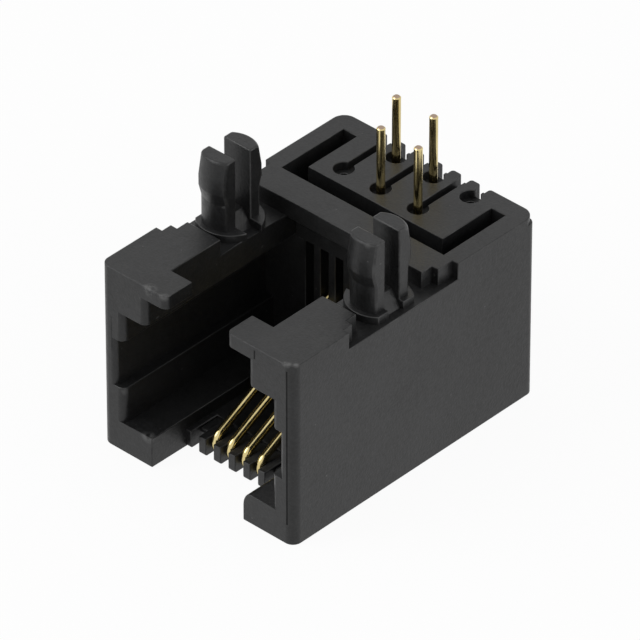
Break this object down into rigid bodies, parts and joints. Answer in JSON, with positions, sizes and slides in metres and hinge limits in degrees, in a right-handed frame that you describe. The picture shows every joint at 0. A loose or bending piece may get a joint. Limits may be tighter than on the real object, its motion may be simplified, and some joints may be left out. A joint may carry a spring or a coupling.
{
  "type": "modular jack",
  "caption": "Right-angle modular jack for a circuit board: a moulded housing open at the front for the plug, with spring wires, solder pins and split board pegs.",
  "frame": {"origin": "middle of the bounding box, on the flat cover face that the jack lies on in the picture", "axes": "+Z points out of the board side, where the pins and pegs stand; -Y points out of the plug opening; X runs across the opening"},
  "size_m": [0.0132, 0.0178, 0.0148],
  "materials": {
    "housing_plastic": "satin moulded black thermoplastic",
    "contact_gold": "gold plated round wire"
  },
  "bodies": {
    "root": {"housing": "housing_plastic", "contact_1": "contact_gold", "contact_2": "contact_gold", "contact_3": "contact_gold", "contact_4": "contact_gold"}
  },
  "joints": []
}
